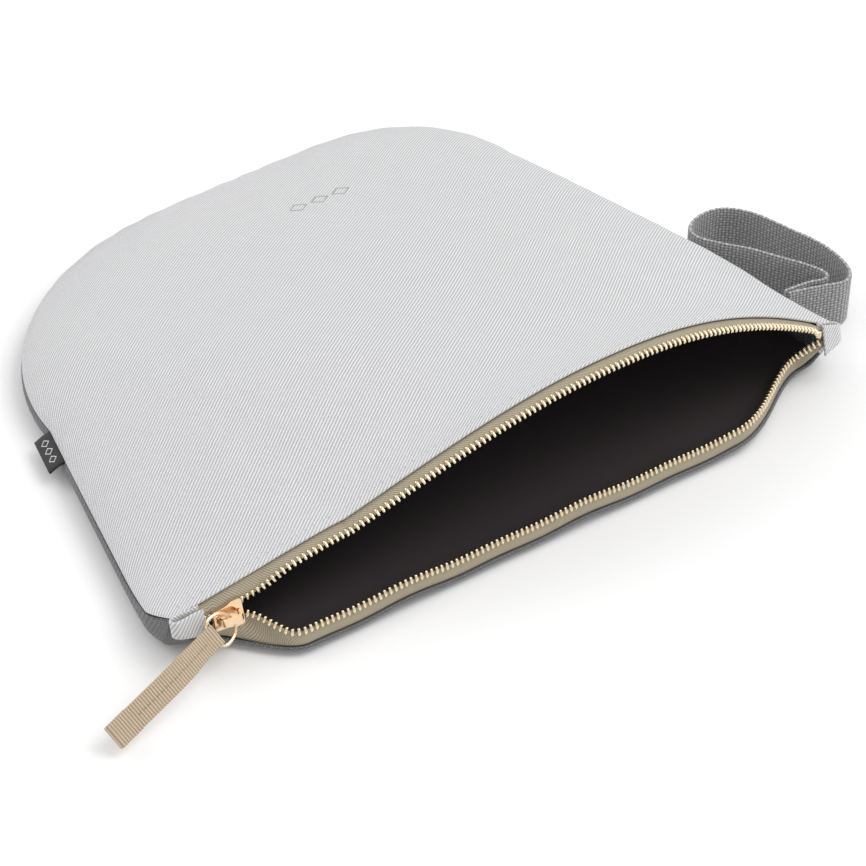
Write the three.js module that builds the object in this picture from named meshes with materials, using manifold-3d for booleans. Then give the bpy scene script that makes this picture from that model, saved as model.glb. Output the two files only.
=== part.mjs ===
// A flat, padded, zip-topped makeup bag with a wrist loop, lying on its back panel with the mouth open.
// Millimetres. +X runs along the zip towards the wrist loop, +Y from the mouth to the bottom of the bag,
// +Z up. The origin is on the table under the middle of the bag.
import * as THREE from 'three';
import Module from 'manifold-3d';
import { mergeVertices } from 'three/addons/utils/BufferGeometryUtils.js';

const wasm = await Module();
wasm.setup();

// ---- the bag's outline ----
const MOUTH_HALF = 139.5;        // half the width along the zip
const BOTTOM_HALF = 99.5;         // half the width that the straight sides would reach at the bottom
const DEPTH = 210;               // from the zip to the bottom seam
const CORNER = { left: 93, right: 61 };   // radii of the two bottom corners
const BOTTOM_SKEW = 7;           // the bottom seam runs out this much at its right end and in at its left

// ---- heights ----
const SEAM_Z = 9;                // side and bottom seam above the table
const MOUTH_SEAM_Z = 17.5;       // the same seam where it reaches the zip
const SEAM_RISE = 34;            // how far from the mouth that rise begins
const SEAM_GAP = 0.5;            // between the two panels at the seam
const DOME = 32.5;               // how far the front panel swells above the seam
const WALL = { left: { power: 2.7, root: 0.66 }, right: { power: 6.6, root: 0.49 } };   // and how steeply it starts
const END_WALL = { power: 4.5, root: 0.6 };
const DOME_SLOPE = 0.3;          // share of the swell lost towards the bottom seam
const MOUTH_BLEND = 0.5;         // share of the depth over which the swell turns into the lip's arch
const CORNER_BLEND = 0.2;        // and the same at the right-hand end of the mouth
const LIP_PEAK = 53;             // highest point of the open front lip
const LIP_PEAK_X = 37;
const LIP_SWELL = { share: 0.062, from: 0.62 };   // extra height of the lip beside its left end
const LIP_REACH = 4;             // the front lip leans this far out of the mouth
const BACK_ROLL = 19;            // width of the back panel's rolled edge
const BACK_LIP_Z = 3;
const BACK_LIP_ROLL = 8;
const BACK_LIP_BOW = 22;         // the back lip is pushed this far out of the mouth
const BACK_BOW = { fromCorner: 12.5, easeLeft: 30, easeRight: 50 };
const MOUTH_CORNER = 14;         // the back lip climbs to the seam over this length

// ---- plies ----
const GAP = 0.3;                 // between pieces that touch
const SHELL = 1;
const FOAM = 2;
const LINING = 0.6;
const FOAM_FROM_LIP = 7;
const LINING_FROM_LIP = 3;

// ---- zip ----
const TAPE = 0.6;
const TAPE_HIDDEN = 5;           // how far a tape runs in under its panel
const TAPE_CLEAR = 0.4;          // and how far it stays from the panel's inner face
const TAPE_FROM_ROW = 0.65;      // and from the back of its row
const TOOTH_PITCH = 2;
const TOOTH_BACK = 1.1;          // from a row's centre to its back
const TOOTH_TIP = 1.3;           // and to the tips of its teeth
const TOOTH_NOTCH = 0.2;         // and to the notches between them
const TOOTH_HALF_DEEP = 1;
const CHAIN_AHEAD = { left: 4.4, right: 4.8 };   // the chain stands this far in front of the mouth's corners
const CHAIN_Z = { left: 14.4, right: 19.5 };
const LEFT_LIFT = { height: 1.4, from: 123, to: 130 };    // it turns up beyond the slider, under the lip
const CHAIN_TILT = THREE.MathUtils.degToRad(14);
const MESHED_HALF = 1.4;         // from the chain's middle to a row's centre where the teeth mesh
const SPREAD_HALF = 2.6;         // and where the rows leave the slider
const FRONT_TAPE = { length: 5.2, droop: THREE.MathUtils.degToRad(20) };
const BACK_TAPE = { rise: 6.2, lean: 2 };
const CHAIN_HALF = MOUTH_HALF - 11;
const STOP_LENGTH = 2.6;
const TAPE_OVERRUN = 3.4;        // a tape goes on this far past its row, into the tab

// ---- tabs at the zip's ends ----
const TAB = { width: 11, height: 9.6, ply: 0.7 };
const TAB_X = CHAIN_HALF + 2;    // middle of each tab
const ROW_IN_TAB = 18;           // the open rows close up over this length before the right tab

// ---- slider, ring and ribbon ----
const SLIDER_X = 22 - MOUTH_HALF;
const SLIDER = { half: 5.2, narrow: 3.5, wide: 4.7, plate: 1, channel: 2.6, slot: 1.5, flange: 0.7 };
const CROWN = { half: 4.2, width: 2.4, clear: 2.8, thick: 0.8 };
const RING_WIRE = 0.55;
const RING = { length: 8.6, half: 4.9 };
const PULL_REACH = new THREE.Vector3(-51.8, -21, -7.7);   // from the slider to the ribbon's tip
const PULL_TWIST = THREE.MathUtils.degToRad(30);
const RIBBON = { width: 8.2, ply: 0.7, play: 0.45, sag: 1.6 };

// ---- webbing loop and side label ----
const WEBBING = { width: 20, thick: 1.6, low: 0.3 };
const LOOP_ROOT = { fromMouth: 23, out: 1.2 };   // both ends are sewn into the right side seam here
const LOOP_ROUTE = [             // middle of the webbing, from its root
  [0, -1], [4.8, -2.2], [12.8, -4.6], [21.4, -6.8], [27, -2.6], [29.6, 7], [29.4, 18],
  [26.4, 30], [21.8, 46], [14.4, 54.8], [4.8, 56.2], [-3.4, 52.4], [-5.4, 46],
  [-1.2, 38], [5.6, 29], [11.2, 18.6], [16.4, 9], [18.8, 1.6], [16.2, -1.6],
  [10.2, 0], [4.8, 0.6], [0, 1],
];
const LABEL = { fromMouth: 99, length: 18, out: 6.5, thick: 1, drop: 3.5 };

const MOUTH_Y = -DEPTH / 2;
const BOTTOM_Y = DEPTH / 2;
const UP_CHAIN = new THREE.Vector3(0, Math.sin(CHAIN_TILT), Math.cos(CHAIN_TILT));
const OUT_CHAIN = new THREE.Vector3(0, -Math.cos(CHAIN_TILT), Math.sin(CHAIN_TILT));
const V = (x, y, z) => new THREE.Vector3(x, y, z);
const { lerp, clamp, smoothstep } = THREE.MathUtils;

function look(color, roughness, metalness = 0) {
  return new THREE.MeshStandardMaterial({ color, roughness, metalness });
}

const LOOKS = {
  panel: look(0xdcdcdd, 0.85),
  back: look(0x6a6a6c, 0.85),
  foam: look(0xe9e6dc, 0.95),
  lining: look(0x2b2526, 0.8),
  tape: look(0xb7b09a, 0.85),
  gold: look(0xe3bd80, 0.22, 1),
  ribbon: look(0xb9ab92, 0.8),
  webbing: look(0x666667, 0.9),
  label: look(0x15151a, 0.7),
};

// ---- solids ----

function bodyFrom(points, faces) {
  const geometry = new THREE.BufferGeometry();
  geometry.setAttribute('position', new THREE.Float32BufferAttribute(points.flatMap((p) => p.toArray()), 3));
  let six = 0;
  for (const [a, b, c] of faces) {
    six += points[a].dot(points[b].clone().cross(points[c]));
  }
  geometry.setIndex(faces.flatMap(([a, b, c]) => (six > 0 ? [a, b, c] : [a, c, b])));
  return geometry;
}

// A closed slab between two equal grids of points, walled all round.
function slab(top, bottom) {
  const rows = top.length;
  const cols = top[0].length;
  const points = [...top.flat(), ...bottom.flat()];
  const at = (layer, i, j) => layer * rows * cols + i * cols + j;
  const faces = [];
  const quad = (a, b, c, d) => faces.push([a, b, c], [a, c, d]);
  for (let i = 0; i < rows - 1; i++) {
    for (let j = 0; j < cols - 1; j++) {
      quad(at(0, i, j), at(0, i, j + 1), at(0, i + 1, j + 1), at(0, i + 1, j));
      quad(at(1, i, j), at(1, i + 1, j), at(1, i + 1, j + 1), at(1, i, j + 1));
    }
  }
  for (let i = 0; i < rows - 1; i++) {
    quad(at(0, i, 0), at(0, i + 1, 0), at(1, i + 1, 0), at(1, i, 0));
    quad(at(0, i + 1, cols - 1), at(0, i, cols - 1), at(1, i, cols - 1), at(1, i + 1, cols - 1));
  }
  for (let j = 0; j < cols - 1; j++) {
    quad(at(0, 0, j + 1), at(0, 0, j), at(1, 0, j), at(1, 0, j + 1));
    quad(at(0, rows - 1, j), at(0, rows - 1, j + 1), at(1, rows - 1, j + 1), at(1, rows - 1, j));
  }
  return bodyFrom(points, faces);
}

// A round wire whose centre line closes on itself and lies in the plane across `normal`.
function hoop(curve, normal, radius, steps, sides) {
  const points = [];
  const faces = [];
  for (let i = 0; i < steps; i++) {
    const centre = curve.getPointAt(i / steps);
    const side = curve.getTangentAt(i / steps).cross(normal).normalize();
    for (let j = 0; j < sides; j++) {
      const turn = (2 * Math.PI * j) / sides;
      points.push(centre.clone()
        .addScaledVector(side, radius * Math.cos(turn))
        .addScaledVector(normal, radius * Math.sin(turn)));
    }
  }
  for (let i = 0; i < steps; i++) {
    for (let j = 0; j < sides; j++) {
      const k = (i + 1) % steps;
      const l = (j + 1) % sides;
      faces.push([i * sides + j, i * sides + l, k * sides + l], [i * sides + j, k * sides + l, k * sides + j]);
    }
  }
  return bodyFrom(points, faces);
}

function toSolid(geometry) {
  const bare = geometry.clone();
  bare.deleteAttribute('normal');
  bare.deleteAttribute('uv');
  const merged = mergeVertices(bare, 1e-4);
  return new wasm.Manifold(new wasm.Mesh({
    numProp: 3,
    vertProperties: merged.attributes.position.array,
    triVerts: new Uint32Array(merged.index.array),
  }));
}

function toGeometry(solid) {
  const mesh = solid.getMesh();
  const geometry = new THREE.BufferGeometry();
  geometry.setAttribute('position', new THREE.BufferAttribute(mesh.vertProperties, 3));
  geometry.setIndex(new THREE.BufferAttribute(mesh.triVerts, 1));
  return geometry;
}

function extruded(outline, low, high) {
  const geometry = new THREE.ExtrudeGeometry(outline, { depth: high - low, bevelEnabled: false, curveSegments: 8 });
  return geometry.translate(0, 0, low);
}

const bag = new THREE.Group();

function add(name, geometry, material, parent = bag) {
  const mesh = new THREE.Mesh(geometry, material);
  mesh.name = name;
  parent.add(mesh);
  return mesh;
}

// ---- panels ----

function straightHalf(y) {
  return lerp(MOUTH_HALF, BOTTOM_HALF, (y - MOUTH_Y) / DEPTH);
}

function halfWidth(side, y) {
  const radius = CORNER[side];
  const from = BOTTOM_Y - radius;
  if (y <= from) {
    return straightHalf(y);
  }
  const past = Math.min(y - from, radius);
  return straightHalf(from) - radius + Math.sqrt(radius ** 2 - past ** 2);
}

function seamZ(y) {
  return SEAM_Z + (MOUTH_SEAM_Z - SEAM_Z) * Math.max(0, 1 - (y - MOUTH_Y) / SEAM_RISE) ** 2;
}

// How far the open front lip has risen at x: 0 at the zip's ends, 1 at its peak.
function lipRise(x) {
  if (x < LIP_PEAK_X) {
    const away = clamp((LIP_PEAK_X - x) / (LIP_PEAK_X + MOUTH_HALF), 0, 1);
    const nearEnd = clamp((away - LIP_SWELL.from) / (1 - LIP_SWELL.from), 0, 1);
    const swell = LIP_SWELL.share * Math.max(0, Math.sin(Math.PI * nearEnd)) ** 0.6;
    return (1 + Math.cos(Math.PI * away ** 1.05)) / 2 + swell;
  }
  const away = clamp((x - LIP_PEAK_X) / (MOUTH_HALF - LIP_PEAK_X), 0, 1);
  return (1 - away ** 2.2) ** 1.15;
}

function backBow(x) {
  const reach = MOUTH_HALF - BACK_BOW.fromCorner;
  const left = smoothstep(x, -reach, -reach + BACK_BOW.easeLeft);
  const right = 1 - smoothstep(x, reach - BACK_BOW.easeRight, reach);
  return Math.min(left, right);
}

function bottomShift(x, v) {
  return (BOTTOM_SKEW * x * v ** 2) / BOTTOM_HALF;
}

function onPanel(u, y) {
  const side = u < 0 ? 'left' : 'right';
  return u * halfWidth(side, y);
}

function frontSkin(u, y) {
  const x = onPanel(u, y);
  const v = clamp((y - MOUTH_Y) / DEPTH, 0, 1);
  const wall = u < 0 ? WALL.left : WALL.right;
  const across = Math.max(0, 1 - Math.abs(u) ** wall.power) ** wall.root;
  const along = Math.max(0, 1 - v ** END_WALL.power) ** END_WALL.root;
  const dome = DOME * across * along * (1 - DOME_SLOPE * v);
  const arch = (LIP_PEAK - MOUTH_SEAM_Z) * lipRise(x);
  const blend = lerp(MOUTH_BLEND, CORNER_BLEND, Math.max(0, u) ** 4);
  const nearMouth = Math.max(0, 1 - v / blend) ** 2;
  const z = seamZ(y) + SEAM_GAP / 2 + lerp(dome, arch, nearMouth);
  return V(x, y + bottomShift(x, v) - LIP_REACH * lipRise(x) * (1 - v) ** 3, z);
}

function fromEdge(u, y) {
  const side = u < 0 ? 'left' : 'right';
  const radius = CORNER[side];
  const x = Math.abs(onPanel(u, y));
  const cornerX = straightHalf(BOTTOM_Y - radius) - radius;
  const cornerY = BOTTOM_Y - radius;
  if (y > cornerY && x > cornerX) {
    return radius - Math.hypot(x - cornerX, y - cornerY);
  }
  return Math.min(straightHalf(y) - x, BOTTOM_Y - y);
}

function backLipZ(x) {
  const climb = Math.max(0, 1 - (MOUTH_HALF - Math.abs(x)) / MOUTH_CORNER) ** 2;
  return lerp(BACK_LIP_Z, MOUTH_SEAM_Z - SEAM_GAP / 2, climb);
}

function backSkin(u, y) {
  const x = onPanel(u, y);
  const v = (y - MOUTH_Y) / DEPTH;
  const edge = (seamZ(y) - SEAM_GAP / 2) * Math.max(0, 1 - Math.max(0, fromEdge(u, y)) / BACK_ROLL) ** 2;
  const lip = backLipZ(x) * Math.max(0, 1 - (y - MOUTH_Y) / BACK_LIP_ROLL) ** 2;
  return V(x, y + bottomShift(x, v) - BACK_LIP_BOW * backBow(x) * (1 - v) ** 3, Math.max(edge, lip));
}

// A point `depth` below a panel's outer skin, towards the inside of the bag. At the seam the ply is cut level,
// so that the two panels meet there edge to edge.
function under(skin, u, y, depth, inward) {
  if (Math.abs(u) === 1 || y === BOTTOM_Y) {
    const side = u < 0 ? 'left' : 'right';
    const seam = skin(u, y);
    const centre = V(0, Math.min(y, BOTTOM_Y - CORNER[side]), seam.z);
    return seam.add(centre.sub(seam).normalize().multiplyScalar(depth));
  }
  const du = 0.004;
  const dy = 0.4;
  const ua = Math.max(-1, u - du);
  const ub = Math.min(1, u + du);
  const ya = Math.max(MOUTH_Y, y - dy);
  const yb = Math.min(BOTTOM_Y, y + dy);
  const across = skin(ub, y).sub(skin(ua, y));
  const along = skin(u, yb).sub(skin(u, ya));
  const normal = across.cross(along).normalize();
  return skin(u, y).addScaledVector(normal, inward * depth);
}

// Columns and rows crowd towards the seams. The second row is where the foam begins.
const COLUMNS = Array.from({ length: 17 }, (_, i) => Math.sin((Math.PI / 2) * (i / 8 - 1)));
const ROWS = panelRows();

function panelRows() {
  const radius = Math.max(CORNER.left, CORNER.right);
  const first = MOUTH_Y + FOAM_FROM_LIP;
  const straight = [0, 0.06, 0.15, 0.27, 0.42, 0.6, 0.8, 1].map((t) => lerp(first, BOTTOM_Y - radius, t));
  const corner = [18, 36, 54, 72, 90].map((a) => (
    BOTTOM_Y - radius + radius * Math.sin(THREE.MathUtils.degToRad(a))));
  return [MOUTH_Y, ...straight, ...corner];
}

// One ply of a panel; the inner plies are trimmed back from the seams.
function ply(skin, inward, depth, thick, rows, columns) {
  const layer = (d) => rows.map((y) => columns.map((u) => under(skin, u, y, d, inward)));
  return slab(layer(depth), layer(depth + thick));
}

function addPanel(name, skin, inward, material) {
  const foamDepth = SHELL + GAP;
  const liningDepth = foamDepth + FOAM + GAP;
  const inner = COLUMNS.slice(2, -2);
  const foamRows = ROWS.slice(1, -2);
  add(`${name}_shell`, ply(skin, inward, 0, SHELL, ROWS, COLUMNS), material);
  add(`${name}_foam`, ply(skin, inward, foamDepth, FOAM, foamRows, inner), LOOKS.foam);
  const liningRows = [MOUTH_Y + LINING_FROM_LIP, ...foamRows];
  add(`${name}_lining`, ply(skin, inward, liningDepth, LINING, liningRows, inner), LOOKS.lining);
}

// ---- zip rows and tapes ----

const SIDES = {
  front: { sign: 1, skin: frontSkin, inward: -1, release: 20 },
  back: { sign: -1, skin: backSkin, inward: 1, release: 11 },
};

// A point `depth` below the flat facets of a panel, between its first two rows.
function lipPoint(side, x, inside, depth) {
  const { skin, inward } = SIDES[side];
  const u = clamp(x / MOUTH_HALF, -0.9999, 0.9999);
  const j = COLUMNS.findIndex((edge) => edge > u);
  const t = (u - COLUMNS[j - 1]) / (COLUMNS[j] - COLUMNS[j - 1]);
  const onRow = (y) => under(skin, COLUMNS[j - 1], y, depth, inward).lerp(under(skin, COLUMNS[j], y, depth, inward), t);
  return onRow(ROWS[0]).lerp(onRow(ROWS[1]), inside / FOAM_FROM_LIP);
}

// 0 where a row is held in the chain line, 1 where it hangs free on its lip.
function freedom(side, x) {
  const exit = SLIDER_X + SLIDER.half;
  const left = smoothstep(x, exit, exit + SIDES[side].release);
  const tab = TAB_X - TAB.width / 2;
  return Math.min(left, 1 - smoothstep(x, tab - ROW_IN_TAB, tab - 1));
}

function chainAt(x) {
  const t = (x / TAB_X + 1) / 2;
  const lift = LEFT_LIFT.height * smoothstep(-x, LEFT_LIFT.from, LEFT_LIFT.to);
  return V(x, MOUTH_Y - lerp(CHAIN_AHEAD.left, CHAIN_AHEAD.right, t), lerp(CHAIN_Z.left, CHAIN_Z.right, t))
    .addScaledVector(UP_CHAIN, lift);
}

function freeRow(side, x) {
  const lip = SIDES[side].skin(x / MOUTH_HALF, MOUTH_Y);
  if (side === 'front') {
    const { length, droop } = FRONT_TAPE;
    return lip.add(V(0, -length * Math.cos(droop), -length * Math.sin(droop)));
  }
  return lip.add(V(0, BACK_TAPE.lean, BACK_TAPE.rise));
}

function rowCentre(side, x) {
  const { sign } = SIDES[side];
  const tab = TAB_X - TAB.width / 2;
  const opening = smoothstep(x, SLIDER_X - 3, SLIDER_X + SLIDER.half - 0.2);
  const closing = smoothstep(x, tab - ROW_IN_TAB, tab - 2);
  const half = lerp(MESHED_HALF, SPREAD_HALF, opening * (1 - closing));
  const held = chainAt(x).addScaledVector(UP_CHAIN, sign * half);
  return held.lerp(freeRow(side, x), freedom(side, x));
}

// The row's centre with the directions to its teeth's tips and out through its face.
function rowFrame(side, x) {
  const { sign } = SIDES[side];
  const centre = rowCentre(side, x);
  const along = rowCentre(side, x + 0.2).sub(rowCentre(side, x - 0.2)).normalize();
  const lip = lipPoint(side, clamp(x, -MOUTH_HALF, MOUTH_HALF), 0, SHELL + GAP);
  const away = centre.clone().sub(lip).normalize();
  const tips = UP_CHAIN.clone().multiplyScalar(-sign).lerp(away, freedom(side, x));
  tips.addScaledVector(along, -tips.dot(along)).normalize();
  return { centre, tips, face: along.clone().cross(tips).multiplyScalar(-sign) };
}

// Places along the zip that lie `step` apart when measured along the row.
function spaced(side, from, to, step) {
  const places = [from];
  let run = 0;
  let last = rowCentre(side, from);
  for (let x = from; x < to; x += 0.05) {
    const here = rowCentre(side, x);
    run += here.distanceTo(last);
    last = here;
    if (run >= step) {
      places.push(x);
      run = 0;
    }
  }
  return places;
}

function teeth(side) {
  const places = spaced(side, -CHAIN_HALF, CHAIN_HALF, TOOTH_PITCH / 2);
  const layer = (out) => places.map((x, i) => {
    const { centre, tips, face } = rowFrame(side, x);
    const reach = i % 2 ? TOOTH_TIP : TOOTH_NOTCH;
    return [-TOOTH_BACK, reach].map((r) => centre.clone().addScaledVector(tips, r).addScaledVector(face, out));
  });
  return slab(layer(TOOTH_HALF_DEEP), layer(-TOOTH_HALF_DEEP));
}

// A tape runs from under its panel's lip to the back of its row; inside a tab it lies flat in the chain's plane.
function tape(side) {
  const { sign } = SIDES[side];
  const places = [];
  const steps = 38;
  for (let i = 0; i <= steps; i++) {
    places.push(lerp(-CHAIN_HALF - TAPE_OVERRUN, CHAIN_HALF + TAPE_OVERRUN, i / steps));
  }
  const layer = (out) => places.map((x) => {
    const { centre, tips, face } = rowFrame(side, x);
    const tab = TAB_X - TAB.width / 2;
    const narrowing = smoothstep(Math.abs(x), tab - 7, tab - 4);
    const inTab = smoothstep(Math.abs(x), tab - 4, tab - 0.5);
    const inside = lerp(TAPE_HIDDEN, 1.4, narrowing);
    const depth = SHELL + TAPE_CLEAR + TAPE / 2 - out;
    const flat = (r) => chainAt(x)
      .addScaledVector(UP_CHAIN, sign * r)
      .addScaledVector(OUT_CHAIN, out);
    const hidden = lipPoint(side, x, inside, depth).lerp(flat(TAB.height / 2 - 0.8), inTab);
    const lip = lipPoint(side, x, 0.6, depth).lerp(flat(TAB.height / 2 - 1.2), inTab);
    const back = TOOTH_BACK + TAPE_FROM_ROW;
    const level = (r) => centre.clone().addScaledVector(tips, -r).addScaledVector(face, out);
    return [hidden, lip, level(back + lerp(1.5, 0.4, inTab)), level(back)];
  });
  return slab(layer(TAPE / 2), layer(-TAPE / 2));
}

function stop(side, x) {
  const { centre, tips, face } = rowFrame(side, x);
  const layer = (out) => [0, STOP_LENGTH].map((dx) => [-TOOTH_BACK, TOOTH_TIP - 0.1].map((r) => centre.clone()
    .add(V(dx, 0, 0))
    .addScaledVector(tips, r)
    .addScaledVector(face, out)));
  return slab(layer(TOOTH_HALF_DEEP), layer(-TOOTH_HALF_DEEP));
}

function bottomStop() {
  const middle = chainAt(-CHAIN_HALF - GAP - STOP_LENGTH);
  const high = MESHED_HALF + TOOTH_BACK;
  const layer = (out) => [0, STOP_LENGTH].map((dx) => [-high, high].map((r) => middle.clone()
    .add(V(dx, 0, 0))
    .addScaledVector(UP_CHAIN, r)
    .addScaledVector(OUT_CHAIN, out)));
  return slab(layer(TOOTH_HALF_DEEP), layer(-TOOTH_HALF_DEEP));
}

// ---- end tabs: a strip folded round the tape's end, open towards the middle of the zip ----

function endTab(sign) {
  const inner = TOOTH_HALF_DEEP + GAP;
  const outer = inner + TAB.ply;
  const half = TAB.width / 2;
  const line = new THREE.Shape();
  line.moveTo(-half, inner);
  line.lineTo(half - TAB.ply - 0.4, inner);
  line.lineTo(half - TAB.ply, inner - 0.4);
  line.lineTo(half - TAB.ply, -inner + 0.4);
  line.lineTo(half - TAB.ply - 0.4, -inner);
  line.lineTo(-half, -inner);
  line.lineTo(-half, -outer);
  line.lineTo(half - 0.7, -outer);
  line.lineTo(half, -outer + 0.7);
  line.lineTo(half, outer - 0.7);
  line.lineTo(half - 0.7, outer);
  line.lineTo(-half, outer);
  line.closePath();
  const geometry = extruded(line, -TAB.height / 2, TAB.height / 2);
  if (sign < 0) {
    geometry.rotateZ(Math.PI);
  }
  return geometry;
}

function addTab(name, sign) {
  const tab = add(name, endTab(sign), LOOKS.panel);
  tab.position.copy(chainAt(sign * TAB_X));
  tab.rotation.x = -CHAIN_TILT;
}

// ---- slider ----

const SLIDER_ORIGIN = chainAt(SLIDER_X);
const SLIDER_HALF_DEEP = SLIDER.channel / 2 + SLIDER.plate;

function shield(inset) {
  const { half, narrow, wide } = SLIDER;
  const line = new THREE.Shape();
  line.moveTo(-half + 0.8, -narrow + inset);
  line.quadraticCurveTo(-half, -narrow + inset, -half, -narrow + inset + 0.8);
  line.lineTo(-half, narrow - inset - 0.8);
  line.quadraticCurveTo(-half, narrow - inset, -half + 0.8, narrow - inset);
  line.quadraticCurveTo(0.2, narrow - inset + 0.1, 1.6, wide - inset);
  line.lineTo(half - 1.4, wide - inset);
  line.quadraticCurveTo(half, wide - inset, half, wide - inset - 1.5);
  line.lineTo(half, -wide + inset + 1.5);
  line.quadraticCurveTo(half, -wide + inset, half - 1.4, -wide + inset);
  line.lineTo(1.6, -wide + inset);
  line.quadraticCurveTo(0.2, -narrow + inset - 0.1, -half + 0.8, -narrow + inset);
  return line;
}

function channel() {
  const { half, narrow, wide, flange } = SLIDER;
  const line = new THREE.Shape();
  line.moveTo(-half - 1, -narrow + flange);
  line.lineTo(-1.5, -narrow + flange);
  line.lineTo(2, -wide + flange);
  line.lineTo(half + 1, -wide + flange);
  line.lineTo(half + 1, wide - flange);
  line.lineTo(2, wide - flange);
  line.lineTo(-1.5, narrow - flange);
  line.lineTo(-half - 1, narrow - flange);
  return extruded(line, -SLIDER.channel / 2, SLIDER.channel / 2);
}

// The wedge that parts the two rows and joins the slider's two plates.
function wedge() {
  const tip = SLIDER.half;
  const line = new THREE.Shape();
  line.moveTo(0.8, 0);
  line.lineTo(2.4, -0.5);
  line.lineTo(4.3, -0.9);
  line.quadraticCurveTo(tip, -0.7, tip, 0);
  line.quadraticCurveTo(tip, 0.7, 4.3, 0.9);
  line.lineTo(2.4, 0.5);
  return extruded(line, -SLIDER.channel / 2 - 0.2, SLIDER.channel / 2 + 0.2);
}

function sliderBody() {
  const block = toSolid(extruded(shield(0), -SLIDER_HALF_DEEP, SLIDER_HALF_DEEP));
  const slot = toSolid(new THREE.BoxGeometry(4 * SLIDER.half, 4 * SLIDER.wide, SLIDER.slot));
  return toGeometry(block.subtract(toSolid(channel())).subtract(slot).add(toSolid(wedge())));
}

// The crown bridges the outer plate from end to end and the ring swings under it.
function crown() {
  const { half, width, clear, thick } = CROWN;
  const foot = 0.9;
  const line = new THREE.Shape();
  line.moveTo(-half, 0);
  line.lineTo(-half + foot, 0);
  line.bezierCurveTo(-half + foot, clear * 0.9, -half + 1.6, clear, -half + 2.4, clear);
  line.lineTo(half - 2.4, clear);
  line.bezierCurveTo(half - 1.6, clear, half - foot, clear * 0.9, half - foot, 0);
  line.lineTo(half, 0);
  line.bezierCurveTo(half, clear + thick * 0.6, half - 1.2, clear + thick, half - 2.4, clear + thick);
  line.lineTo(-half + 2.4, clear + thick);
  line.bezierCurveTo(-half + 1.2, clear + thick, -half, clear + thick * 0.6, -half, 0);
  return extruded(line, -width / 2, width / 2).rotateX(Math.PI / 2);
}

// ---- ring and ribbon ----

const PULL_TIP = SLIDER_ORIGIN.clone().add(PULL_REACH);
const RING_PIVOT = SLIDER_ORIGIN.clone()
  .addScaledVector(OUT_CHAIN, SLIDER_HALF_DEEP + GAP + CROWN.clear / 2);
const PULL_DIRECTION = PULL_TIP.clone().sub(RING_PIVOT).normalize();
const PULL_LENGTH = PULL_TIP.distanceTo(RING_PIVOT);
const BAR_DIRECTION = barDirection();
const PULL_FACE = PULL_DIRECTION.clone().cross(BAR_DIRECTION).normalize();

function barDirection() {
  const down = UP_CHAIN.clone().negate();
  down.addScaledVector(PULL_DIRECTION, -down.dot(PULL_DIRECTION)).normalize();
  const level = PULL_DIRECTION.clone().cross(down);
  const outwards = Math.sign(level.y) * -1;
  return down.multiplyScalar(Math.cos(PULL_TWIST)).addScaledVector(level, outwards * Math.sin(PULL_TWIST));
}

function ring() {
  const { length, half } = RING;
  const route = [
    [0, 0], [0.5, 2.2], [2.2, 4], [4.6, half], [7.2, half], [length, half - 1.2],
    [length, 1.8], [length, -1.8],
    [length, -half + 1.2], [7.2, -half], [4.6, -half], [2.2, -4], [0.5, -2.2],
  ];
  const points = route.map(([a, b]) => RING_PIVOT.clone()
    .addScaledVector(PULL_DIRECTION, a)
    .addScaledVector(BAR_DIRECTION, b));
  const curve = new THREE.CatmullRomCurve3(points, true, 'centripetal');
  return hoop(curve, PULL_FACE, RING_WIRE, 30, 8);
}

// The folded ribbon: its eye goes round the ring's bar, and its two plies run on together to the tip.
function ribbon() {
  const eye = RING_WIRE + RIBBON.play;
  const outer = eye + RIBBON.ply;
  const tail = PULL_LENGTH - RING.length;
  const sag = (a) => RIBBON.sag * Math.sin((Math.PI * a) / tail);
  const line = new THREE.Shape();
  line.absarc(0, 0, outer, THREE.MathUtils.degToRad(40), THREE.MathUtils.degToRad(320), false);
  const steps = 9;
  for (let i = 1; i <= steps; i++) {
    const a = lerp(3, tail, i / steps);
    line.lineTo(a, sag(a) - RIBBON.ply);
  }
  for (let i = steps; i >= 1; i--) {
    const a = lerp(3, tail, i / steps);
    line.lineTo(a, sag(a) + RIBBON.ply);
  }
  line.closePath();
  const hole = new THREE.Path();
  hole.absarc(0, 0, eye, 0, 2 * Math.PI, true);
  line.holes.push(hole);
  const geometry = extruded(line, -RIBBON.width / 2, RIBBON.width / 2);
  const place = new THREE.Matrix4().makeBasis(PULL_DIRECTION, PULL_FACE, BAR_DIRECTION.clone());
  if (place.determinant() < 0) {
    place.makeBasis(PULL_DIRECTION, PULL_FACE.clone().negate(), BAR_DIRECTION);
  }
  place.setPosition(RING_PIVOT.clone().addScaledVector(PULL_DIRECTION, RING.length));
  return geometry.applyMatrix4(place);
}

// ---- webbing loop, standing on its edge beside the bag ----

function wristLoop() {
  const rootY = MOUTH_Y + LOOP_ROOT.fromMouth;
  const root = V(halfWidth('right', rootY) + LOOP_ROOT.out, rootY, 0);
  const route = LOOP_ROUTE.map(([x, y]) => V(x, y, 0).add(root));
  const curve = new THREE.CatmullRomCurve3(route, false, 'centripetal');
  const steps = 44;
  const layer = (out) => {
    const grid = [];
    for (let i = 0; i <= steps; i++) {
      const along = curve.getTangentAt(i / steps);
      const side = V(-along.y, along.x, 0);
      const foot = curve.getPointAt(i / steps).addScaledVector(side, out);
      grid.push([WEBBING.low, WEBBING.low + WEBBING.width].map((z) => foot.clone().setZ(z)));
    }
    return grid;
  };
  return slab(layer(WEBBING.thick / 2), layer(-WEBBING.thick / 2));
}

// ---- folded label in the left side seam ----

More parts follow.
